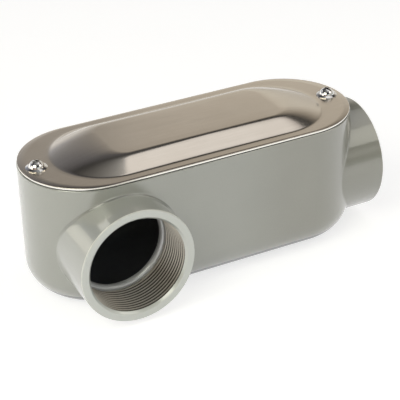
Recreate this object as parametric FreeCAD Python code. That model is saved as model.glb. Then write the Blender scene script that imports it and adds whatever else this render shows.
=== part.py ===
"""L-shaped conduit body of two inch trade size, with its drawn cover, gasket and two cover screws.

Own frame: the flat back lies on Z = 0 and the cover faces +Z. The body's length runs along X with the
end hub towards +X. The side hub points towards -Y. The origin is the middle of the flat back.
All lengths are in millimetres.
"""
import FreeCAD, Part
import math
import os

Vector = FreeCAD.Vector

# ---- Casting ---------------------------------------------------------------------------------------
BODY_WIDTH = 80.0           # across the two flat sides
END_CENTRE_SPAN = 126.6     # between the centres of the two rounded ends
WALL = 3.5                  # thickness of the cast wall
BACK_EDGE_RADIUS = 19.0     # large rounding between the sides and the back
RIM_CHAMFER = 0.3           # broken edge on the outside of the rim

# ---- Hubs (both are alike) -------------------------------------------------------------------------
HUB_WALL = 4.0              # round the pipe thread
HUB_BACK_GAP = 3.2          # from the flat back up to the hubs
HUB_RIM_GAP = 6.7           # from the hubs up to the rim that carries the gasket
END_HUB_REACH = 11.0        # beyond the tip of the rounded end
SIDE_HUB_REACH = 19.0       # beyond the flat side
SIDE_HUB_SHIFT = 1.9        # from the centre of the rounded end towards the middle
HUB_ROOT_RADIUS = 1.5       # cast fillet where a hub leaves the body
HUB_FACE_RADIUS = 0.8       # rounding on the outside of the hub's face

# ---- Conduit entry inside a hub --------------------------------------------------------------------
THREAD_RADIUS = 30.0        # root of the pipe thread
THREAD_DEPTH = 26.5         # hub face to the shoulder where the conduit stops
MOUTH_CHAMFER = 0.6         # at the hub's face
BUSHING_RADIUS = 26.3       # smooth opening behind the shoulder
BUSHING_LENGTH = 5.0
BUSHING_LIP_RADIUS = 2.2    # rounding that protects the wires

# ---- Cover screws and their bosses -----------------------------------------------------------------
SCREW_INSET = 9.3           # from the tip of the rounded end to a cover screw
SCREW_RADIUS = 2.37         # outside of the screw's thread
SCREW_REACH = 6.6           # length of screw inside the casting
SCREW_POINT = 0.5           # chamfer on the screw's end
SCREW_PLAY = 0.05           # between screw and tapped hole, on the radius
TAPPED_DEPTH = 7.5          # full depth of the tapped hole below the rim
DRILL_POINT_ANGLE = 118.0   # degrees, at the bottom of the tapped hole
BOSS_RADIUS = 6.0
BOSS_DEPTH = 10.5           # at a boss's inner side, below the rim
BOSS_TAIL = 9.0             # how much further down it reaches at the end wall
FLANGE_RADIUS = 6.2         # washer flange under the screw's head
FLANGE_EDGE = 0.45           # thickness of the flange at its edge
FLANGE_RISE = 0.65           # from the flange's edge up to the dome
DOME_RADIUS = 4.5           # foot of the domed head
DOME_HEIGHT = 3.4
RECESS_SPAN = 4.4           # tip to tip of the cross recess
RECESS_WIDTH = 1.1
RECESS_DEPTH = 2.0

# ---- Gasket ----------------------------------------------------------------------------------------
GASKET_THICKNESS = 0.5
GASKET_SETBACK = 0.7        # edge of the gasket inside the edge of the casting
GASKET_BAND = 5.0           # width of the gasket along the rim
GASKET_HOLE_PLAY = 0.5      # round a screw
GASKET_EYE = 3.4            # width of gasket left round a screw hole

# ---- Drawn cover -----------------------------------------------------------------------------------
COVER_THICKNESS = 1.2
COVER_SETBACK = 0.4         # edge of the cover inside the edge of the casting
COVER_EDGE_CHAMFER = 0.25
COVER_HOLE_PLAY = 0.4       # round a screw
PANEL_HEIGHT = 6.0          # raised panel above the cover's flat border
PANEL_SIDE_BORDER = 7.2     # side of the casting to the panel's foot
PANEL_END_BORDER = 19.5     # tip of the rounded end to the panel's foot
PANEL_SIDE_RUN = 11.8       # level distance that the long side slopes over
PANEL_END_RUN = 25.8        # level distance that the end slopes over
PANEL_TOP_CORNER = 9.0      # corner radius of the panel's flat top
PANEL_NOSE_ANGLE = 25.0     # degrees either side of X that the straight end of the top spreads over
PANEL_BEND_RADIUS = 7.0     # soft bend round the panel's flat top
PANEL_FOOT_BEND = 0.8       # tight bend where the panel leaves the border

# ---- Sizes that follow -----------------------------------------------------------------------------
BODY_RADIUS = BODY_WIDTH / 2
END_CENTRE = END_CENTRE_SPAN / 2
HUB_RADIUS = THREAD_RADIUS + HUB_WALL
HUB_AXIS_HEIGHT = HUB_BACK_GAP + HUB_RADIUS
RIM_HEIGHT = HUB_AXIS_HEIGHT + HUB_RADIUS + HUB_RIM_GAP
END_HUB_FACE = END_CENTRE + BODY_RADIUS + END_HUB_REACH
SIDE_HUB_FACE = -(BODY_RADIUS + SIDE_HUB_REACH)
SIDE_HUB_X = -END_CENTRE + SIDE_HUB_SHIFT
ENTRY_DEPTH = THREAD_DEPTH + BUSHING_LENGTH
COVER_BOTTOM = RIM_HEIGHT + GASKET_THICKNESS
COVER_TOP = COVER_BOTTOM + COVER_THICKNESS
SCREW_X = END_CENTRE + BODY_RADIUS - SCREW_INSET
SCREW_PLACES = {"left": -SCREW_X, "right": SCREW_X}
TAPPED_RADIUS = SCREW_RADIUS + SCREW_PLAY
PANEL_FOOT_RADIUS = BODY_RADIUS - PANEL_SIDE_BORDER
PANEL_FOOT_CENTRE = END_CENTRE + BODY_RADIUS - PANEL_END_BORDER - PANEL_FOOT_RADIUS
PANEL_TOP_HALF_WIDTH = PANEL_FOOT_RADIUS - PANEL_SIDE_RUN
PANEL_TOP_HALF_LENGTH = PANEL_FOOT_CENTRE + PANEL_FOOT_RADIUS - PANEL_END_RUN
OVERCUT = 1.0               # how far a cutting shape runs past the face that it opens
ON_SURFACE = 1e-3           # a point this near to a surface lies on it


def stadium(half_width, bottom, top):
    """Upright block with straight sides and round ends about the two end centres."""
    corners = [Vector(-END_CENTRE, -half_width, bottom), Vector(END_CENTRE, -half_width, bottom),
               Vector(END_CENTRE, half_width, bottom), Vector(-END_CENTRE, half_width, bottom)]
    right_tip = Vector(END_CENTRE + half_width, 0, bottom)
    left_tip = Vector(-END_CENTRE - half_width, 0, bottom)
    outline = [Part.LineSegment(corners[0], corners[1]), Part.Arc(corners[1], right_tip, corners[2]),
               Part.LineSegment(corners[2], corners[3]), Part.Arc(corners[3], left_tip, corners[0])]
    wire = Part.Wire([curve.toShape() for curve in outline])
    return Part.Face(wire).extrude(Vector(0, 0, top - bottom))


def edges_at_height(solid, height):
    """Edges of a solid that lie wholly at one height."""
    return [edge for edge in solid.Edges
            if abs(edge.BoundBox.ZMin - height) < ON_SURFACE and abs(edge.BoundBox.ZMax - height) < ON_SURFACE]


def tub(half_width, bottom, top, edge_radius):
    """Stadium block whose lower edge is rounded all the way round."""
    block = stadium(half_width, bottom, top)
    return block.makeFillet(edge_radius, edges_at_height(block, bottom))


def revolved(profile, place, axis):
    """Solid of revolution of a closed profile of (radius, distance along the axis) curves."""
    face = Part.Face(Part.Wire([curve.toShape() for curve in profile]))
    solid = face.revolve(Vector(0, 0, 0), Vector(0, 0, 1), 360)
    turn = FreeCAD.Rotation(Vector(0, 0, 1), axis)
    solid.Placement = FreeCAD.Placement(place, turn)
    return solid


def at(radius, along):
    """Point of a turned profile."""
    return Vector(radius, 0, along)


def line(start, end):
    return Part.LineSegment(start, end)


def quarter(start, end, centre):
    """Arc from start to end about a centre, taking the short way."""
    radius = start.distanceToPoint(centre)
    middle = (start + end) * 0.5 - centre
    return Part.Arc(start, centre + middle.normalize() * radius, end)


# ---- Casting ---------------------------------------------------------------------------------------
class Hub:
    """Place of one hub: the middle of its face, the way that it points and its length inwards."""

    def __init__(self, face_centre, outward, depth):
        self.face_centre = face_centre
        self.outward = outward
        self.depth = depth

    def cylinder(self, radius, start, depth):
        """Round bar along the hub's axis, from start below the face and depth long."""
        return Part.makeCylinder(radius, depth, self.face_centre - self.outward * start, self.outward * -1)

    def runs_along(self, edge):
        """True for an edge on the hub's outside that isn't on its face and doesn't run straight."""
        middle = edge.valueAt((edge.FirstParameter + edge.LastParameter) / 2)
        for point in (middle, edge.firstVertex().Point):
            from_face = point - self.face_centre
            along = from_face.dot(self.outward)
            radius = (from_face - self.outward * along).Length
            if abs(radius - HUB_RADIUS) > ON_SURFACE or abs(along) < ON_SURFACE:
                return False
        return not isinstance(edge.Curve, Part.Line)

    def on_face(self, edge):
        """True for the round edge of the hub's face."""
        middle = edge.valueAt((edge.FirstParameter + edge.LastParameter) / 2)
        return abs((middle - self.face_centre).dot(self.outward)) < ON_SURFACE


HUBS = [Hub(Vector(SIDE_HUB_X, SIDE_HUB_FACE, HUB_AXIS_HEIGHT), Vector(0, -1, 0), -SIDE_HUB_FACE),
        Hub(Vector(END_HUB_FACE, 0, HUB_AXIS_HEIGHT), Vector(1, 0, 0), END_HUB_FACE - END_CENTRE)]


def outer_casting():
    """Outside of the casting: the tub and both hubs, blended into one another."""
    body = tub(BODY_RADIUS, 0, RIM_HEIGHT, BACK_EDGE_RADIUS)
    body = body.makeChamfer(RIM_CHAMFER, edges_at_height(body, RIM_HEIGHT))
    for hub in HUBS:
        body = body.fuse(hub.cylinder(HUB_RADIUS, 0, hub.depth)).removeSplitter()
    for hub in HUBS:
        body = body.makeFillet(HUB_ROOT_RADIUS, [edge for edge in body.Edges if hub.runs_along(edge)])
        body = body.makeFillet(HUB_FACE_RADIUS, [edge for edge in body.Edges if hub.on_face(edge)])
    return body


def screw_boss(x):
    """Boss under one cover screw: joined to the end wall, its underside sloping down to it."""
    outward = math.copysign(1, x)
    inner_x = x - outward * BOSS_RADIUS
    wall_x = outward * (END_CENTRE + BODY_RADIUS)
    slope_start = RIM_HEIGHT - BOSS_DEPTH
    slope_end = slope_start - BOSS_TAIL
    sides = [Vector(inner_x, -BOSS_RADIUS, RIM_HEIGHT), Vector(wall_x, -BOSS_RADIUS, RIM_HEIGHT),
             Vector(wall_x, -BOSS_RADIUS, slope_end), Vector(inner_x, -BOSS_RADIUS, slope_start)]
    web = Part.Face(Part.makePolygon(sides + sides[:1])).extrude(Vector(0, 2 * BOSS_RADIUS, 0))
    height = BOSS_DEPTH + BOSS_TAIL
    round_end = Part.makeCylinder(BOSS_RADIUS, height, Vector(x, 0, slope_end))
    to_wall = Part.makeBox(abs(wall_x - x), 2 * BOSS_RADIUS, height,
                           Vector(min(x, wall_x), -BOSS_RADIUS, slope_end))
    return round_end.fuse(to_wall).common(web)


def chamber():
    """Wiring space inside the casting, less what stands into it: the hubs' inner ends and the bosses."""
    space = tub(BODY_RADIUS - WALL, WALL, RIM_HEIGHT + OVERCUT, BACK_EDGE_RADIUS - WALL)
    for hub in HUBS:
        space = space.cut(hub.cylinder(HUB_RADIUS, 0, ENTRY_DEPTH))
    for x in SCREW_PLACES.values():
        space = space.cut(screw_boss(x))
    return space


def conduit_entry(hub):
    """What is machined out of a hub: the straight thread bore, its shoulder and the rounded bushing."""
    lip = BUSHING_LIP_RADIUS
    mouth = THREAD_RADIUS + MOUTH_CHAMFER
    far_end = ENTRY_DEPTH + OVERCUT
    shoulder = at(BUSHING_RADIUS + lip, THREAD_DEPTH)
    throat_start = at(BUSHING_RADIUS, THREAD_DEPTH + lip)
    throat_end = at(BUSHING_RADIUS, ENTRY_DEPTH - lip)
    inner_end = at(BUSHING_RADIUS + lip, ENTRY_DEPTH)
    past_end = at(BUSHING_RADIUS + lip, far_end)
    profile = [line(at(0, -OVERCUT), at(mouth, -OVERCUT)),
               line(at(mouth, -OVERCUT), at(mouth, 0)),
               line(at(mouth, 0), at(THREAD_RADIUS, MOUTH_CHAMFER)),
               line(at(THREAD_RADIUS, MOUTH_CHAMFER), at(THREAD_RADIUS, THREAD_DEPTH)),
               line(at(THREAD_RADIUS, THREAD_DEPTH), shoulder),
               quarter(shoulder, throat_start, at(BUSHING_RADIUS + lip, THREAD_DEPTH + lip)),
               line(throat_start, throat_end),
               quarter(throat_end, inner_end, at(BUSHING_RADIUS + lip, ENTRY_DEPTH - lip)),
               line(inner_end, past_end),
               line(past_end, at(0, far_end)),
               line(at(0, far_end), at(0, -OVERCUT))]
    return revolved(profile, hub.face_centre, hub.outward * -1)


def tapped_hole(x):
    """Blind hole for one cover screw, with the drill's cone at its bottom."""
    cone_depth = TAPPED_RADIUS / math.tan(math.radians(DRILL_POINT_ANGLE / 2))
    bottom = RIM_HEIGHT - TAPPED_DEPTH
    hole = Part.makeCylinder(TAPPED_RADIUS, TAPPED_DEPTH + OVERCUT, Vector(x, 0, bottom))
    cone = Part.makeCone(0, TAPPED_RADIUS, cone_depth, Vector(x, 0, bottom - cone_depth))
    return hole.fuse(cone)


def housing():
    casting = outer_casting().cut(chamber())
    for hub in HUBS:
        casting = casting.cut(conduit_entry(hub))
    for x in SCREW_PLACES.values():
        casting = casting.cut(tapped_hole(x))
    return casting


# ---- Gasket ----------------------------------------------------------------------------------------
def cover_gasket():
    """Flat ring on the casting's rim, with an eye round each screw."""
    outer_half_width = BODY_RADIUS - GASKET_SETBACK
    sheet = stadium(outer_half_width, RIM_HEIGHT, COVER_BOTTOM)
    opening = stadium(outer_half_width - GASKET_BAND, RIM_HEIGHT - OVERCUT, COVER_BOTTOM + OVERCUT)
    hole_radius = SCREW_RADIUS + GASKET_HOLE_PLAY
    for x in SCREW_PLACES.values():
        foot = Vector(x, 0, RIM_HEIGHT - OVERCUT)
        opening = opening.cut(Part.makeCylinder(hole_radius + GASKET_EYE, GASKET_THICKNESS + 2 * OVERCUT, foot))
    ring = sheet.cut(opening)
    for x in SCREW_PLACES.values():
        ring = ring.cut(Part.makeCylinder(hole_radius, GASKET_THICKNESS, Vector(x, 0, RIM_HEIGHT)))
    return ring


# ---- Cover -----------------------------------------------------------------------------------------
def mirrored_outline(quarter_points, height):
    """Closed outline of lines and arcs from one end's points, copied to the other end.

    quarter_points are the points of the +X end from -Y to +Y: each pair of numbers is a corner, and the
    odd ones are the points that an arc or line passes through between two corners.
    """
    right = [Vector(x, y, height) for x, y in quarter_points]
    left = [Vector(-x, -y, height) for x, y in quarter_points]
    edges = []
    for end, following in ((right, left), (left, right)):
        for start in range(0, len(end) - 1, 2):
            first, middle, last = end[start:start + 3]
            straight = (last - first).cross(middle - first).Length < ON_SURFACE
            curve = Part.LineSegment(first, last) if straight else Part.Arc(first, middle, last)
            edges.append(curve.toShape())
        edges.append(Part.LineSegment(end[-1], following[0]).toShape())
    return Part.Wire(edges)


def panel_foot(height):
    """Stadium outline of the raised panel where it leaves the border."""
    radius = PANEL_FOOT_RADIUS
    nose = PANEL_NOSE_ANGLE
    angles = [-90, -(90 + nose) / 2, -nose, 0, nose, (90 + nose) / 2, 90]
    points = [(PANEL_FOOT_CENTRE + radius * math.cos(math.radians(angle)), radius * math.sin(math.radians(angle)))
              for angle in angles]
    return mirrored_outline(points, height)


def panel_top(height):
    """Outline of the panel's flat top: a long rectangle with rounded corners."""
    x = PANEL_TOP_HALF_LENGTH
    y = PANEL_TOP_HALF_WIDTH
    corner = PANEL_TOP_CORNER
    bulge = corner * (1 - math.sqrt(0.5))
    points = [(x - corner, -y), (x - bulge, -y + bulge), (x, -y + corner), (x, 0),
              (x, y - corner), (x - bulge, y - bulge), (x - corner, y)]
    return mirrored_outline(points, height)


def raised_panel(foot_height):
    """Solid under the raised panel: steep long sides, gently falling ends and a soft bend at the top."""
    top_height = foot_height + PANEL_HEIGHT
    block = Part.makeLoft([panel_foot(foot_height), panel_top(top_height)], True, True)
    return block.makeFillet(PANEL_BEND_RADIUS, edges_at_height(block, top_height))


def panel_foot_edges(solid, height):
    """Edges of the panel's foot, well inside the border's own edge, apart from the screw holes."""
    reach = PANEL_FOOT_CENTRE + PANEL_FOOT_RADIUS + ON_SURFACE
    return [edge for edge in edges_at_height(solid, height)
            if max(abs(edge.BoundBox.XMin), abs(edge.BoundBox.XMax)) < reach]


def cover():
    """Drawn sheet: a flat border that follows the casting, and a raised panel of even thickness."""
    sheet = stadium(BODY_RADIUS - COVER_SETBACK, COVER_BOTTOM, COVER_TOP)
    sheet = sheet.makeChamfer(COVER_EDGE_CHAMFER, edges_at_height(sheet, COVER_TOP))
    sheet = sheet.fuse(raised_panel(COVER_TOP))
    sheet = sheet.makeFillet(PANEL_FOOT_BEND, panel_foot_edges(sheet, COVER_TOP))
    sheet = sheet.cut(raised_panel(COVER_BOTTOM))
    hole_radius = SCREW_RADIUS + COVER_HOLE_PLAY
    for x in SCREW_PLACES.values():
        sheet = sheet.cut(Part.makeCylinder(hole_radius, COVER_THICKNESS, Vector(x, 0, COVER_BOTTOM)))
    return sheet


# ---- Screws ----------------------------------------------------------------------------------------
def cover_screw(x):
    """Machine screw with a domed head on a washer flange and a cross recess."""
    shank_end = -(COVER_THICKNESS + GASKET_THICKNESS + SCREW_REACH)
    dome_foot = FLANGE_EDGE + FLANGE_RISE
    dome_top = dome_foot + DOME_HEIGHT
    ball = (DOME_RADIUS ** 2 + DOME_HEIGHT ** 2) / (2 * DOME_HEIGHT)
    centre = dome_top - ball
    half_angle = math.atan2(DOME_RADIUS, dome_foot - centre) / 2
    shoulder = at(ball * math.sin(half_angle), centre + ball * math.cos(half_angle))
    profile = [line(at(0, shank_end), at(SCREW_RADIUS - SCREW_POINT, shank_end)),
               line(at(SCREW_RADIUS - SCREW_POINT, shank_end), at(SCREW_RADIUS, shank_end + SCREW_POINT)),
               line(at(SCREW_RADIUS, shank_end + SCREW_POINT), at(SCREW_RADIUS, 0)),
               line(at(SCREW_RADIUS, 0), at(FLANGE_RADIUS, 0)),
               line(at(FLANGE_RADIUS, 0), at(FLANGE_RADIUS, FLANGE_EDGE)),
               line(at(FLANGE_RADIUS, FLANGE_EDGE), at(DOME_RADIUS, dome_foot)),
               Part.Arc(at(DOME_RADIUS, dome_foot), shoulder, at(0, dome_top)),
               line(at(0, dome_top), at(0, shank_end))]
    screw = revolved(profile, Vector(x, 0, COVER_TOP), Vector(0, 0, 1))
    for length, width in ((RECESS_SPAN, RECESS_WIDTH), (RECESS_WIDTH, RECESS_SPAN)):
        corner = Vector(x - length / 2, -width / 2, COVER_TOP + dome_top - RECESS_DEPTH)
        screw = screw.cut(Part.makeBox(length, width, RECESS_DEPTH + OVERCUT, corner))
    return screw


# ---- Files -----------------------------------------------------------------------------------------
def main():
    os.makedirs("parts", exist_ok=True)
    pieces = {"housing": housing(), "cover_gasket": cover_gasket(), "cover": cover()}
    for side, x in SCREW_PLACES.items():
        pieces["cover_screw_" + side] = cover_screw(x)
    for name, shape in pieces.items():
        solid = shape.Solids[0]
        print(name, "solids", len(shape.Solids), "valid", solid.isValid(), "volume", round(solid.Volume, 1))
        solid.exportStep("parts/" + name + ".step")


main()
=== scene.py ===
import math

import bmesh
import bpy
import numpy as np
from mathutils import Matrix, Vector

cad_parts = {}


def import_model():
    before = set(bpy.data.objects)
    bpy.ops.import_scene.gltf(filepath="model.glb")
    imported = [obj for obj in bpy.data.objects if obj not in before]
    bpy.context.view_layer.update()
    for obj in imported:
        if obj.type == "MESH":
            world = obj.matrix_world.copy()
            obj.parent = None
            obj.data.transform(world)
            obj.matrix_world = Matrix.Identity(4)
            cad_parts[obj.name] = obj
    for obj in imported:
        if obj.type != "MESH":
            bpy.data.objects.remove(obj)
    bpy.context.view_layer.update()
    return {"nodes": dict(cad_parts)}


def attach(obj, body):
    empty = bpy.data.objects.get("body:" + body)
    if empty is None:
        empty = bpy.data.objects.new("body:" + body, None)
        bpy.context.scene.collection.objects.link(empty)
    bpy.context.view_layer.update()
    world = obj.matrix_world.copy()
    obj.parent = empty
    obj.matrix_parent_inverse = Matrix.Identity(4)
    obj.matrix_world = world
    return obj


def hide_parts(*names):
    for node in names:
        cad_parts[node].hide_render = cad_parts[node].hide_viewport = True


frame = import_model()

# ---------------------------------------------------------------- sizes
# All are in millimetres. The mesh and the shader coordinates are in metres.

MM = 0.001

END_CENTRE = 63.3           # centre of each rounded end, along X
BODY_RADIUS = 40.0
CHAMBER_RADIUS = 36.8       # between the chamber's wall and the outside
HUB_RADIUS = 34.0
HUB_HEIGHT = 37.2           # axis of both hubs above the back
SIDE_HUB_X = -61.4
SIDE_HUB_FACE = -59.0       # along Y
END_HUB_FACE = 114.3        # along X

# pipe thread: depths run from the hub's face inwards, radii from the hub's axis
PITCH = 25.4 / 11.5
THREAD_START = 1.5
THREAD_END = 24.9
BORE_DEPTH = 26.5           # at the shoulder where the conduit stops
CREST = 28.35
ROOT_DEPTH = 1.5
TAPER = 1 / 32              # on the radius
RELIEF = 29.2               # plain groove behind the last turn
RELIEF_LEAD = 0.4
RELIEF_SLOPE = 1.4
RUN_IN = 1.4                # depth over which the first groove reaches its full height
COLUMNS = 160               # steps in one turn
PROFILE = [(0.0, 1.0), (0.10, 1.0), (0.47, 0.06), (0.50, 0.0), (0.60, 0.0), (0.63, 0.06)]     # share of pitch, groove
MOUTH = [                   # radius, depth: chamfer, rounding and flat of the face, then back behind the wall
    (28.42, 1.36), (28.60, 1.16), (29.34, 0.42), (29.50, 0.22), (29.66, 0.08),
    (29.9, 0.02), (31.4, 0.02), (31.4, 0.7), (29.96, 2.2),
]
INNER_END = [(RELIEF, BORE_DEPTH - 0.02), (29.96, BORE_DEPTH - 0.02)]

# drawn cover
COVER_TOP = 79.6            # the flat border
COVER_THICKNESS = 1.2
COVER_RADIUS = 39.6
PANEL_HEIGHT = 6.0
FOOT_CENTRE = 51.0          # the panel's foot is a stadium about these centres
FOOT_RADIUS = 32.8
NOSE = 25.0                 # degrees of the foot's end that meet the straight end of the panel's top
TOP_X = 58.0                # half length of the panel's top
TOP_Y = 21.0                # half width
TOP_CORNER = 9.0
FOOT_BEND = 2.8
END_FOOT_BEND = 1.8
SIDE_BEND = 3.6             # bend round the top, along the long sides
END_BEND = 11.0             # and at the ends
END_SWELL = 1.7             # how much the ends belly out
SCREW_X = 94.0
HOLE_RADIUS = 2.77
PANEL_STEPS = 36

# ---------------------------------------------------------------- materials


class Shader:
    """A small builder for one node material."""

    def __init__(self, name):
        self.mat = bpy.data.materials.new(name)
        self.mat.use_nodes = True
        self.tree = self.mat.node_tree
        self.bsdf = self.tree.nodes["Principled BSDF"]
        self.place = self.add("ShaderNodeTexCoord").outputs["Object"]

    def add(self, kind, inputs=(), **props):
        node = self.tree.nodes.new(kind)
        for key, value in props.items():
            setattr(node, key, value)
        for key, value in dict(inputs).items():
            self.put(node.inputs[key], value)
        return node

    def put(self, socket, value):
        if isinstance(value, bpy.types.NodeSocket):
            self.tree.links.new(value, socket)
        else:
            socket.default_value = value

    def set(self, **values):
        """Inputs of the surface, by name with _ for a space."""
        for key, value in values.items():
            self.put(self.bsdf.inputs[key.replace("_", " ")], value)
        return self.mat

    def axes(self):
        return tuple(self.add("ShaderNodeSeparateXYZ", {0: self.place}).outputs)

    def math(self, operation, a, b=0.0, c=0.0):
        return self.add("ShaderNodeMath", {0: a, 1: b, 2: c}, operation=operation).outputs[0]

    def minus(self, a, b):
        return self.math("SUBTRACT", a, b)

    def above(self, value, limit):
        return self.math("GREATER_THAN", value, limit)

    def under(self, value, limit):
        return self.math("LESS_THAN", value, limit)

    def both(self, a, b):
        return self.math("MULTIPLY", a, b)

    def either(self, a, b):
        return self.math("MAXIMUM", a, b)

    def length(self, a, b):
        return self.math("SQRT", self.math("ADD", self.both(a, a), self.both(b, b)))

    def stretched(self, scale, turn=(0, 0, 0), shift=(0, 0, 0)):
        inputs = {"Vector": self.place, "Scale": scale, "Rotation": turn, "Location": shift}
        return self.add("ShaderNodeMapping", inputs).outputs[0]

    def noise(self, scale, detail=3.0, rough=0.5, place=None):
        inputs = {"Vector": place or self.place, "Scale": scale, "Detail": detail, "Roughness": rough}
        return self.add("ShaderNodeTexNoise", inputs).outputs["Fac"]

    def ramp(self, value, low, high, to_low=0.0, to_high=1.0, smooth=False):
        inputs = {"Value": value, "From Min": low, "From Max": high, "To Min": to_low, "To Max": to_high}
        kind = "SMOOTHSTEP" if smooth else "LINEAR"
        return self.add("ShaderNodeMapRange", inputs, interpolation_type=kind).outputs[0]

    def blend(self, fac, a, b, mode="MIX"):
        node = self.add("ShaderNodeMix", data_type="RGBA", blend_type=mode)
        for socket, value in ((0, fac), (6, a), (7, b)):
            self.put(node.inputs[socket], value)
        return node.outputs[2]

    def bump(self, height, distance, strength=1.0, normal=None):
        inputs = {"Height": height, "Distance": distance, "Strength": strength}
        if normal is not None:
            inputs["Normal"] = normal
        return self.add("ShaderNodeBump", inputs).outputs[0]


def srgb(r, g, b):
    """A colour given in 0 to 255, as the linear colour that a shader takes."""
    def one(c):
        c /= 255
        return c / 12.92 if c <= 0.04045 else ((c + 0.055) / 1.055) ** 2.4

    return (one(r), one(g), one(b), 1.0)


COAT = (srgb(167, 169, 163), srgb(177, 179, 173))
COAT_FLECK = srgb(161, 163, 156)
COAT_END_SHADE = ((1, 1, 1, 1), (0.85, 0.83, 0.79, 1))       # painted shade: multiplies the coat darker from the side hub to the end hub, where less light falls
# painted highlight along the outer edge of each hub's face
EDGE_HIGHLIGHT = srgb(228, 229, 223)
FACE_COAT = srgb(220, 224, 220)
# painted light: near white for the shoulder that lies in shade deep inside each bore
STOP_PAINTED_LIGHT = srgb(243, 246, 248)
CREASE_SHADE = srgb(84, 84, 78)
CHAMBER_SHADE = ((0.11, 0.118, 0.128, 1), (0.16, 0.17, 0.182, 1))
CREASE_OUT = 0.44           # the line in the hub's root fillet, outside both surfaces that it joins


def painted_casting():
    """Glossy grey powder coat, coloured near black inside the wiring chamber as painted shade."""
    s = Shader("powder_coat")
    x, y, z = s.axes()
    height = s.minus(z, HUB_HEIGHT * MM)
    past_centre = s.math("MAXIMUM", s.minus(s.math("ABSOLUTE", x), END_CENTRE * MM), 0.0)
    from_spine = s.length(past_centre, y)
    from_side_axis = s.length(s.minus(x, SIDE_HUB_X * MM), height)
    from_end_axis = s.length(y, height)
    hubs = (
        (from_side_axis, s.minus(y, SIDE_HUB_FACE * MM)),
        (from_end_axis, s.minus(END_HUB_FACE * MM, x)),
    )

    cloud = s.noise(34.0, 2.0)
    fleck = s.noise(1.0, 1.0, 0.5, s.stretched((3600.0, 3600.0, 3600.0), (0.5, 0.3, 0.9)))
    colour = s.blend(cloud, *COAT)
    colour = s.blend(s.ramp(fleck, 0.42, 0.62, 0.0, 0.35), colour, COAT_FLECK)
    # painted shade: the coat darkens towards the end hub, standing in for the light falling off
    end_shade = s.blend(s.ramp(x, 4 * MM, 52 * MM, smooth=True), *COAT_END_SHADE)
    colour = s.blend(1.0, colour, end_shade, "MULTIPLY")

    # each hub has a painted highlight on the edge of its face, a lighter colour on its face, and painted light on the
    # shoulder deep inside, which the bore shades
    edges = s.either(*[
        s.both(s.above(radius, (HUB_RADIUS - 0.6) * MM), s.under(depth, 0.7 * MM)) for radius, depth in hubs])
    faces = s.either(*[
        s.both(s.under(radius, (HUB_RADIUS - 0.3) * MM), s.under(depth, 2.0 * MM)) for radius, depth in hubs])
    stops = s.either(*[
        s.both(s.under(radius, 31.0 * MM), s.math("COMPARE", depth, (BORE_DEPTH + 0.7) * MM, 2.8 * MM))
        for radius, depth in hubs])
    # painted highlight on the hub edges
    colour = s.blend(edges, colour, EDGE_HIGHLIGHT)
    colour = s.blend(faces, colour, FACE_COAT)
    # painted light on the shaded shoulder inside each bore
    colour = s.blend(stops, colour, STOP_PAINTED_LIGHT)

    # painted shade: a dark line in the upper half of the side hub's root
    crease = s.length(
        s.minus(from_side_axis, (HUB_RADIUS + CREASE_OUT) * MM),
        s.minus(from_spine, (BODY_RADIUS + CREASE_OUT) * MM),
    )
    crease = s.both(s.ramp(crease, 0.2 * MM, 0.8 * MM, 0.6, 0.0), s.ramp(height, 10 * MM, 20 * MM))
    crease = s.both(crease, s.under(y, 0.0))
    colour = s.blend(crease, colour, CREASE_SHADE)

    # painted shade: the inside of the wiring chamber is coloured near black, as little light reaches it
    chamber = s.both(s.under(from_spine, CHAMBER_RADIUS * MM), s.minus(1.0, stops))
    chamber = s.both(chamber, s.above(z, 1 * MM))
    # the chamber's painted shade, with a little random tone
    skin = s.blend(s.noise(420.0, 4.0, 0.6), *CHAMBER_SHADE)
    peel = s.noise(1.0, 1.0, 0.4, s.stretched((620.0, 620.0, 620.0), (0.4, 0.7, 0.2), (0.3, 0.4, 0.6)))
    coat_rough = s.ramp(s.noise(60.0, 1.0), 0.0, 1.0, 0.26, 0.34)
    return s.set(
        Base_Color=s.blend(chamber, colour, skin),
        Roughness=s.ramp(chamber, 0.0, 1.0, coat_rough, 0.7),
        Normal=s.bump(peel, 0.04 * MM, s.ramp(chamber, 0, 1, 0.35, 0.9)),
        Specular_IOR_Level=0.5,
        Metallic=0.12,
        Coat_Weight=1.0,
        Coat_IOR=1.8,
        Coat_Roughness=0.08,
    )


def nickel_sheet():
    """Satin sheet, rubbed lengthwise, with a bright cut edge and a few handling scratches."""
    s = Shader("satin_sheet")
    grain = s.noise(1.0, 3.0, 0.6, s.stretched((60.0, 5200.0, 60.0)))
    long_grain = s.noise(1.0, 2.0, 0.5, s.stretched((14.0, 900.0, 14.0)))
    cloud = s.noise(42.0, 3.0, 0.5)
    colour = s.blend(s.ramp(cloud, 0.3, 0.7), (0.66, 0.60, 0.52, 1), (0.72, 0.66, 0.58, 1))
    colour = s.blend(s.ramp(long_grain, 0.35, 0.65, 0.0, 0.25), colour, (0.60, 0.55, 0.47, 1))
    level = s.axes()[2]
    cut_edge = s.ramp(level, (COVER_TOP - 0.4) * MM, (COVER_TOP - 0.2) * MM, 1.0, 0.0)
    colour = s.blend(cut_edge, colour, (0.90, 0.88, 0.84, 1))
    scratch = s.either(*[
        s.ramp(s.noise(1.0, 0.0, 0.5, s.stretched(scale, (0, 0, turn))), 0.80, 0.84)
        for scale, turn in (((26.0, 1500.0, 26.0), 1.2), ((20.0, 1100.0, 20.0), -0.75))
    ])
    rubbed = s.math("ADD", grain, s.both(cloud, 0.6))
    return s.set(
        Metallic=1.0,
        Base_Color=colour,
        Roughness=s.ramp(rubbed, 0.4, 1.2, 0.12, 0.22),
        Normal=s.bump(scratch, -0.02 * MM, 0.5, s.bump(grain, 0.008 * MM, 0.35)),
        Anisotropic=0.3,
    )


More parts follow.
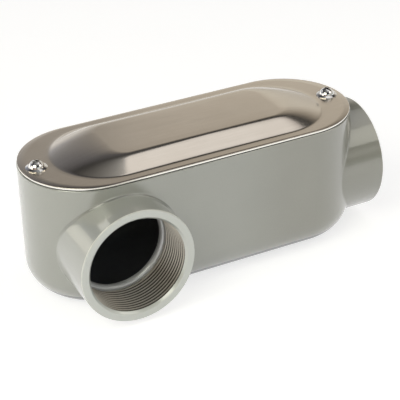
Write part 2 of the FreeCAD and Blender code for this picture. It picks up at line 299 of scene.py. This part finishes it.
def chrome():
    s = Shader("bright_plating")
    rub = s.noise(2600.0, 3.0, 0.6)
    return s.set(
        Metallic=1.0,
        Base_Color=s.blend(s.noise(300.0, 2.0), (0.78, 0.77, 0.75, 1), (0.86, 0.85, 0.83, 1)),
        Roughness=s.ramp(rub, 0.3, 0.7, 0.05, 0.13),
        Normal=s.bump(rub, 0.004 * MM, 0.3),
    )


def rubber():
    s = Shader("black_rubber")
    pore = s.noise(2400.0, 3.0, 0.6)
    return s.set(
        Base_Color=s.blend(pore, (0.012, 0.012, 0.012, 1), (0.026, 0.025, 0.024, 1)),
        Roughness=s.ramp(pore, 0.3, 0.7, 0.6, 0.8),
        Normal=s.bump(pore, 0.02 * MM, 0.5),
    )


def bare_thread(name, across, along, face):
    """Machined metal of one entry. Crests are bright, and the grooves are dark, partly as residue and partly as
    painted shade.

    across gives the two axes across the entry, each with its centre, and along the axis that it runs on.
    """
    s = Shader(name)
    xyz = s.axes()
    radius = s.length(*[s.minus(xyz[axis], centre * MM) for axis, centre in across])
    depth = s.math("ABSOLUTE", s.minus(xyz[along], face * MM))
    crest = s.minus((CREST + THREAD_START * TAPER) * MM, s.both(depth, TAPER))
    # the grooves are coloured near black: residue together with painted shade
    in_groove = s.ramp(s.minus(radius, crest), 0.1 * MM, 0.9 * MM, smooth=True)
    before_relief = s.ramp(depth, (THREAD_END - 0.9) * MM, (THREAD_END - 0.1) * MM, 1.0, 0.0)
    chatter = s.noise(1.0, 2.0, 0.5, s.stretched((900.0, 900.0, 900.0)))
    bright = s.blend(chatter, (0.40, 0.37, 0.32, 1), (0.60, 0.56, 0.49, 1))
    return s.set(
        Metallic=0.8,
        Base_Color=s.blend(s.both(in_groove, before_relief), bright, (0.035, 0.03, 0.026, 1)),
        Roughness=s.ramp(chatter, 0.3, 0.7, 0.3, 0.45),
        Normal=s.bump(chatter, 0.02 * MM, 0.3),
    )


PAINT = painted_casting()
SHEET = nickel_sheet()
CHROME = chrome()
RUBBER = rubber()

for node, material in {
    "housing": PAINT,
    "cover": SHEET,
    "cover_gasket": RUBBER,
    "cover_screw_left": CHROME,
    "cover_screw_right": CHROME,
}.items():
    frame["nodes"][node].material_slots[0].material = material

# ---------------------------------------------------------------- threads


def new_object(name, bm, *materials):
    """Mesh object made of a bmesh, which is freed."""
    mesh = bpy.data.meshes.new(name)
    bm.to_mesh(mesh)
    bm.free()
    for material in materials:
        mesh.materials.append(material)
    obj = bpy.data.objects.new(name, mesh)
    bpy.context.collection.objects.link(obj)
    return obj


def thread_radius(depth, groove):
    cut_in = min(max((depth - THREAD_START) / RUN_IN, 0.0), 1.0)
    radius = CREST - (depth - THREAD_START) * TAPER + ROOT_DEPTH * groove * cut_in
    return max(radius, RELIEF - max(THREAD_END - RELIEF_LEAD - depth, 0.0) * RELIEF_SLOPE)


def helical_band(bm):
    """The thread's surface, with its axis on Z: each turn of the profile starts where the last one ended."""
    turns = int((THREAD_END - THREAD_START) / PITCH) + 4
    grid = {}
    for k in range(turns):
        for m, (share, groove) in enumerate(PROFILE):
            for i in range(COLUMNS):
                depth = THREAD_START + PITCH * (k - 2 + share + i / COLUMNS)
                radius = thread_radius(depth, groove)
                a = 2 * math.pi * i / COLUMNS
                grid[k, m, i] = bm.verts.new((radius * math.cos(a), radius * math.sin(a), depth))

    def vert(k, m, i):
        if i == COLUMNS:
            i, k = 0, k + 1
        if m == len(PROFILE):
            m, k = 0, k + 1
        return grid.get((k, m, i))

    for k in range(turns):
        for m in range(len(PROFILE)):
            for i in range(COLUMNS):
                corners = [vert(k, m, i), vert(k, m, i + 1), vert(k, m + 1, i + 1), vert(k, m + 1, i)]
                if all(corners):
                    bm.faces.new(corners)
    for depth, side in ((THREAD_START, -1), (THREAD_END, 1)):
        bmesh.ops.bisect_plane(
            bm,
            geom=bm.verts[:] + bm.edges[:] + bm.faces[:],
            plane_co=(0, 0, depth),
            plane_no=(0, 0, side),
            clear_outer=True,
            dist=1e-6,
        )
    bmesh.ops.remove_doubles(bm, verts=bm.verts, dist=1e-4)


def open_edges(edges, depth):
    return [e for e in edges if e.is_boundary and all(abs(v.co.z - depth) < 1e-4 for v in e.verts)]


def run_on(bm, depth, steps):
    """Carries the open end at a depth on through rings of (radius, depth), and returns the new open end."""
    loop = open_edges(bm.edges, depth)
    for radius, z in steps:
        made = bmesh.ops.extrude_edge_only(bm, edges=loop)["geom"]
        for v in made:
            if isinstance(v, bmesh.types.BMVert):
                flat = math.hypot(v.co.x, v.co.y)
                v.co = (v.co.x * radius / flat, v.co.y * radius / flat, z)
        loop = open_edges([e for e in made if isinstance(e, bmesh.types.BMEdge)], z)
    return loop


def thread_liner(name, face, inward, bare):
    """Threads, mouth chamfer and outer skin of one conduit entry, as one closed ring."""
    inward = Vector(inward)
    up = Vector((0, 0, 1))
    bm = bmesh.new()
    helical_band(bm)
    ends = run_on(bm, THREAD_START, MOUTH) + run_on(bm, THREAD_END, INNER_END)
    bmesh.ops.bridge_loops(bm, edges=ends)
    bmesh.ops.recalc_face_normals(bm, faces=bm.faces)
    for f in bm.faces:
        f.smooth = True
        f.material_index = 0 if f.calc_center_median().z < THREAD_START else 1
    place = Matrix((up, inward.cross(up), inward)).transposed()
    for v in bm.verts:
        v.co = Vector(face) * MM + (place @ v.co) * MM
    liner = new_object(name, bm, PAINT, bare)
    liner.data.set_sharp_from_angle(angle=math.radians(32))
    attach(liner, "root")


thread_liner(
    "thread_side", (SIDE_HUB_X, SIDE_HUB_FACE, HUB_HEIGHT), (0, 1, 0),
    bare_thread("machined_metal_side", ((0, SIDE_HUB_X), (2, HUB_HEIGHT)), 1, SIDE_HUB_FACE),
)
thread_liner(
    "thread_end", (END_HUB_FACE, 0.0, HUB_HEIGHT), (-1, 0, 0),
    bare_thread("machined_metal_end", ((1, 0.0), (2, HUB_HEIGHT)), 0, END_HUB_FACE),
)

# ---------------------------------------------------------------- cover

SPANS = (34, 22, 22, 14)    # steps in each span of a quarter outline
EDGE_RINGS = ((0.0, 0.32), (0.05, 0.16), (0.14, 0.05), (0.3, 0.0))      # inset, drop: the border's upper edge
LOWER_EDGE_RINGS = ((0.0, 1.0), (0.06, 1.14), (0.2, 1.2))


def spread(points, weights, count):
    """Points at even steps of weight along a polyline."""
    total = np.concatenate([[0], np.cumsum(weights)])
    where = np.linspace(0, total[-1], count, endpoint=False)
    k = np.minimum(np.searchsorted(total, where, side="right") - 1, len(weights) - 1)
    share = (where - total[k]) / np.asarray(weights)[k]
    points = np.asarray(points)
    return points[k] + share[:, None] * (points[k + 1] - points[k])


def arc(cx, cy, radius, start, end, count=40):
    a = np.radians(np.linspace(start, end, count))
    return np.stack([cx + radius * np.cos(a), cy + radius * np.sin(a)], 1)


def quarter_outline(spans):
    """One quarter, from the middle of a long side to the middle of the end, in spans that match between outlines."""
    out = []
    for span, count in zip(spans, SPANS):
        span = np.asarray(span, float)
        step = np.linalg.norm(np.diff(span, axis=0), axis=1)
        out.append(spread(span, step, count))
    return np.concatenate(out + [np.asarray(spans[-1][-1:], float)])


def whole_outline(quarter):
    """The quarter (x>0, y>0) mirrored to all four, starting and ending at the middle of the far side."""
    q1 = quarter                       # far side middle -> +X end middle
    q2 = (q1 * (1, -1))[::-1]          # +X end middle -> near side middle
    q3 = q1 * (-1, -1)                 # near side middle -> -X end middle
    q4 = (q1 * (-1, 1))[::-1]          # -X end middle -> far side middle
    return np.concatenate([q1[:-1], q2[:-1], q3[:-1], q4[:-1]])


def stadium(radius, centre=END_CENTRE):
    corner = (90 + NOSE) / 2
    return whole_outline(quarter_outline([
        [(0, radius), (centre, radius)],
        arc(centre, 0, radius, 90, corner),
        arc(centre, 0, radius, corner, NOSE),
        arc(centre, 0, radius, NOSE, 0),
    ]))


def panel_top():
    c = TOP_CORNER
    return whole_outline(quarter_outline([
        [(0, TOP_Y), (TOP_X - c, TOP_Y)],
        arc(TOP_X - c, TOP_Y - c, c, 90, 45),
        arc(TOP_X - c, TOP_Y - c, c, 45, 0),
        [(TOP_X, TOP_Y - c), (TOP_X, 0)],
    ]))


def softened(outline, rounds):
    for _ in range(rounds):
        outline = (outline + np.roll(outline, 1, 0) + np.roll(outline, -1, 0)) / 3
    return outline


def soft_step(t, foot, head):
    """0 to 1 with a bend of share foot at the bottom and head at the top, and a straight flank between."""
    slope = 1 / (1 - foot / 2 - head / 2)
    low = slope * t * t / (2 * foot)
    mid = slope * (t - foot / 2)
    high = 1 - slope * (1 - t) ** 2 / (2 * head)
    return np.where(t < foot, low, np.where(t > 1 - head, high, mid))


def cover_rings():
    """Rings of (outline, height above the border), from the lower edge over the outside to the panel's top."""
    foot = softened(stadium(FOOT_RADIUS + FOOT_BEND / 2, FOOT_CENTRE), 6)
    inner = softened(panel_top(), 12)
    inner = inner * (1 - END_BEND / 2 / TOP_X, 1 - SIDE_BEND / 2 / TOP_Y)
    across = inner - foot
    run = np.linalg.norm(across, axis=1)
    endwise = np.abs(across[:, 0]) / run       # 0 on a long side, 1 at an end
    head = (SIDE_BEND + (END_BEND - SIDE_BEND) * endwise ** 1.5) / run
    low = (FOOT_BEND + (END_FOOT_BEND - FOOT_BEND) * endwise ** 2) / run
    level = np.zeros(len(run))

    top = [(stadium(COVER_RADIUS - inset), level - drop) for inset, drop in EDGE_RINGS]
    border = top[-1][0]
    for share in (0.3, 0.6, 0.85):
        top.append((border + (foot - border) * share, level))
    for k in range(PANEL_STEPS + 1):
        t = k / PANEL_STEPS
        flank = soft_step(t + level, low, head)
        swelled = 1 - (1 - soft_step(t + level, low, level + 0.02)) ** END_SWELL
        top.append((foot + across * t, PANEL_HEIGHT * (flank + (swelled - flank) * endwise ** 2)))
    spine = np.stack([np.clip(inner[:, 0], TOP_Y - TOP_X, TOP_X - TOP_Y), level], 1)
    for share in (0.35, 0.7, 1.0):
        top.append((inner + (spine - inner) * share, level + PANEL_HEIGHT))

    under = [(stadium(COVER_RADIUS - inset), level - drop) for inset, drop in LOWER_EDGE_RINGS]
    under += [(xy, z - COVER_THICKNESS) for xy, z in top[len(EDGE_RINGS):]]
    return under[::-1] + top


def cover_piece(name):
    """The drawn cover: a flat border, a raised panel with soft bends, an even thickness and two screw holes."""
    bm = bmesh.new()
    loops = []
    for xy, z in cover_rings():
        loops.append([bm.verts.new((x * MM, y * MM, (COVER_TOP + h) * MM)) for (x, y), h in zip(xy, z)])
    for low_loop, high_loop in zip(loops, loops[1:]):
        for i in range(len(low_loop)):
            j = (i + 1) % len(low_loop)
            bm.faces.new((low_loop[i], low_loop[j], high_loop[j], high_loop[i]))
    bmesh.ops.remove_doubles(bm, verts=bm.verts, dist=2e-6)
    bmesh.ops.recalc_face_normals(bm, faces=bm.faces)
    sheet = new_object(name, bm, SHEET)

    drill = bmesh.new()
    for x in (-SCREW_X, SCREW_X):
        spot = Matrix.Translation(Vector((x, 0, COVER_TOP)) * MM)
        bmesh.ops.create_cone(drill, cap_ends=True, segments=48, radius1=HOLE_RADIUS * MM,
                              radius2=HOLE_RADIUS * MM, depth=4 * MM, matrix=spot)
    cutter = new_object("drill", drill, SHEET)
    cut = sheet.modifiers.new("holes", "BOOLEAN")
    cut.object = cutter
    cut.solver = "EXACT"
    bpy.context.view_layer.update()
    pierced = bpy.data.meshes.new_from_object(sheet.evaluated_get(bpy.context.evaluated_depsgraph_get()))
    sheet.modifiers.clear()
    sheet.data = pierced
    bpy.data.objects.remove(cutter)
    for f in pierced.polygons:
        f.use_smooth = True
    pierced.set_sharp_from_angle(angle=math.radians(40))
    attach(sheet, "root")
    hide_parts("cover")


cover_piece("cover_sheet_metal")

# ---------------------------------------------------------------- stage

FLOOR_LIFT = 0.68           # brings the pale floor up to white where it is seen; it lights nothing
FLOOR_RADIUS = 9.0          # metres, as all places and sizes below

WORLD_HEIGHTS = (0.0, 0.15, 0.30, 0.48, 0.64, 0.80, 1.0)     # sine of the elevation
WORLD = {
    "left_front": (
        (0.63, 0.65, 0.57), (0.23, 0.16, 0.14), 0.03, 0.03, 0.03, 0.03, 0.30),
    "left_back": (
        (0.80, 0.80, 0.82), (1.05, 1.05, 1.05), (0.42, 0.44, 0.51), (0.235, 0.245, 0.27),
        (0.18, 0.18, 0.20), 0.03, 0.20),
    "right_front": (
        (0.41, 0.45, 0.42), (0.20, 0.19, 0.18), (0.70, 0.68, 0.63), 0.05, 0.05, 0.05, 0.75),
    "right_back": (
        (0.66, 0.64, 0.60), (0.62, 0.59, 0.54), (0.77, 0.74, 0.67), (0.40, 0.36, 0.31),
        0.03, 0.08, (0.72, 0.75, 0.78)),
}
FRONT_TO_BACK = (-0.3, 0.3)     # where one quarter melts into the next, on the unit sphere
LEFT_TO_RIGHT = (-0.1, 0.55)

# name: place, aimed at, width and height, radiance, colour
SOFTBOXES = {
    "overhead": ((0.47, 0.05, 1.0), (0, 0, 0.08), (0.72, 0.50), 0.62, (1.00, 0.96, 0.95)),
    "far_right": ((0.74, 1.25, 0.76), (0.03, 0, 0.08), (0.46, 0.30), 0.12, (1.00, 0.93, 0.82)),
    "left_high": ((-0.66, -0.34, 0.76), (-0.04, 0, 0.05), (0.55, 0.42), 1.60, (0.99, 1.00, 0.83)),
    "left_wide": ((-0.62, -0.42, 0.74), (-0.03, 0, 0.05), (0.7, 0.55), 2.20, (1.00, 1.00, 0.87)),
    "left_side": ((-1.1, 0.0, 0.42), (0, 0, 0.05), (0.7, 0.6), 1.35, (1.00, 0.93, 0.78)),
    "left_back": ((-0.95, 1.2, 0.25), (0, 0, 0.04), (0.9, 0.45), 0.72, (1.00, 0.93, 0.72)),
    "left_front": ((-0.55, -0.62, 0.36), (-0.05, 0, 0.04), (0.42, 0.36), 0.33, (1.00, 0.81, 0.70)),
    "right_high": ((0.86, -0.4, 0.66), (0, 0, 0.05), (0.4, 0.34), 0.49, (1.00, 0.84, 0.76)),
    "right_wide": ((0.74, -0.55, 0.84), (0.05, 0, 0.05), (0.75, 0.5), 1.45, (1.00, 0.98, 0.90)),
    "right_end": ((1.07, -0.5, 0.2), (0, 0, 0.04), (0.2, 0.24), 0.9, (0.97, 1.00, 1.00)),
    "front_low": ((0.15, -1.2, 0.3), (0, 0, 0.04), (0.8, 0.4), 0.23, (1.00, 0.84, 0.57)),
    "right_low": ((1.3, -0.1, 0.35), (0, 0, 0.05), (0.5, 0.5), 0.12, (1.00, 1.00, 0.93)),
    "front": ((0.05, -1.1, 0.55), (0, 0, 0.04), (0.9, 0.35), 0.54, (0.90, 0.98, 1.00)),
    "low_front": ((-0.02, -0.9, 0.16), (0, 0, 0.04), (0.35, 0.2), 0.9, (0.90, 0.98, 1.00)),
    "window": ((-0.45, 0.95, 0.78), (-0.07, -0.04, 0.06), (0.28, 0.28), 1.6, (1.00, 0.97, 0.88)),
}

CAMERA_AZIMUTH = -26.829    # degrees
CAMERA_ELEVATION = 29.089
CAMERA_ROLL = -1.606
CAMERA_TARGET = (0.006336, 0.0, 0.0312)
CAMERA_DISTANCE = 0.8207
SENSOR_WIDTH = 36.0
FOCAL_LENGTH = 123.822


def floor():
    s = Shader("sweep_paper")
    mottle = s.noise(2.0, 3.0)
    rays = s.add("ShaderNodeLightPath").outputs
    seen = s.either(rays["Is Camera Ray"], s.either(rays["Is Glossy Ray"], rays["Is Transmission Ray"]))
    s.set(
        Base_Color=s.blend(mottle, (0.60, 0.60, 0.61, 1), (0.63, 0.63, 0.64, 1)),
        Roughness=0.9,
        Specular_IOR_Level=0.1,
        Emission_Color=(1, 1, 1, 1),
        Emission_Strength=s.both(seen, FLOOR_LIFT),
    )
    bm = bmesh.new()
    bmesh.ops.create_circle(bm, cap_ends=True, segments=96, radius=FLOOR_RADIUS)
    obj = new_object("floor", bm, s.mat)
    obj.location.z = -0.0002


def world():
    """Soft surroundings: bright near the horizon, dark above, in four quarters that melt into each other."""
    w = bpy.data.worlds.new("studio")
    bpy.context.scene.world = w
    w.use_nodes = True
    tree = w.node_tree
    xyz = tree.nodes.new("ShaderNodeSeparateXYZ")
    tree.links.new(tree.nodes.new("ShaderNodeTexCoord").outputs["Generated"], xyz.inputs[0])

    def quarter(name):
        levels = WORLD[name]
        ramp = tree.nodes.new("ShaderNodeValToRGB")
        tree.links.new(xyz.outputs[2], ramp.inputs[0])
        elements = ramp.color_ramp.elements
        while len(elements) < len(levels):
            elements.new(0.5)
        for element, where, level in zip(elements, WORLD_HEIGHTS, levels):
            element.position = where
            element.color = (*(level if isinstance(level, tuple) else (level,) * 3), 1)
        return ramp.outputs[0]

    def turn(axis, low, high, span):
        share = tree.nodes.new("ShaderNodeMapRange")
        share.interpolation_type = "SMOOTHSTEP"
        share.inputs["From Min"].default_value = span[0]
        share.inputs["From Max"].default_value = span[1]
        tree.links.new(xyz.outputs[axis], share.inputs["Value"])
        mix = tree.nodes.new("ShaderNodeMix")
        mix.data_type = "RGBA"
        tree.links.new(share.outputs[0], mix.inputs[0])
        tree.links.new(low, mix.inputs[6])
        tree.links.new(high, mix.inputs[7])
        return mix.outputs[2]

    left = turn(1, quarter("left_front"), quarter("left_back"), FRONT_TO_BACK)
    right = turn(1, quarter("right_front"), quarter("right_back"), FRONT_TO_BACK)
    tree.links.new(turn(0, left, right, LEFT_TO_RIGHT), tree.nodes["Background"].inputs["Color"])


def softbox(name, at, towards, size, radiance, colour):
    light = bpy.data.lights.new(name, "AREA")
    light.shape = "RECTANGLE"
    light.size, light.size_y = size
    light.energy = radiance * math.pi * size[0] * size[1]
    light.color = colour
    obj = bpy.data.objects.new(name, light)
    obj.location = at
    obj.rotation_euler = (Vector(towards) - Vector(at)).to_track_quat("-Z", "Y").to_euler()
    bpy.context.collection.objects.link(obj)


def camera():
    azimuth, elevation, roll = (math.radians(a) for a in (CAMERA_AZIMUTH, CAMERA_ELEVATION, CAMERA_ROLL))
    away = Vector((
        math.sin(azimuth) * math.cos(elevation),
        -math.cos(azimuth) * math.cos(elevation),
        math.sin(elevation),
    ))
    right = (-away).cross(Vector((0, 0, 1))).normalized()
    up = right.cross(-away)
    right, up = (
        right * math.cos(roll) + up * math.sin(roll),
        up * math.cos(roll) - right * math.sin(roll),
    )
    cam = bpy.data.cameras.new("camera")
    cam.sensor_width = SENSOR_WIDTH
    cam.lens = FOCAL_LENGTH
    obj = bpy.data.objects.new("camera", cam)
    turn = Matrix((right, up, away)).transposed().to_4x4()
    obj.matrix_world = Matrix.Translation(Vector(CAMERA_TARGET) + away * CAMERA_DISTANCE) @ turn
    bpy.context.collection.objects.link(obj)
    bpy.context.scene.camera = obj


floor()
world()
camera()
for name, settings in SOFTBOXES.items():
    softbox(name, *settings)
bpy.context.scene.view_settings.view_transform = "Standard"
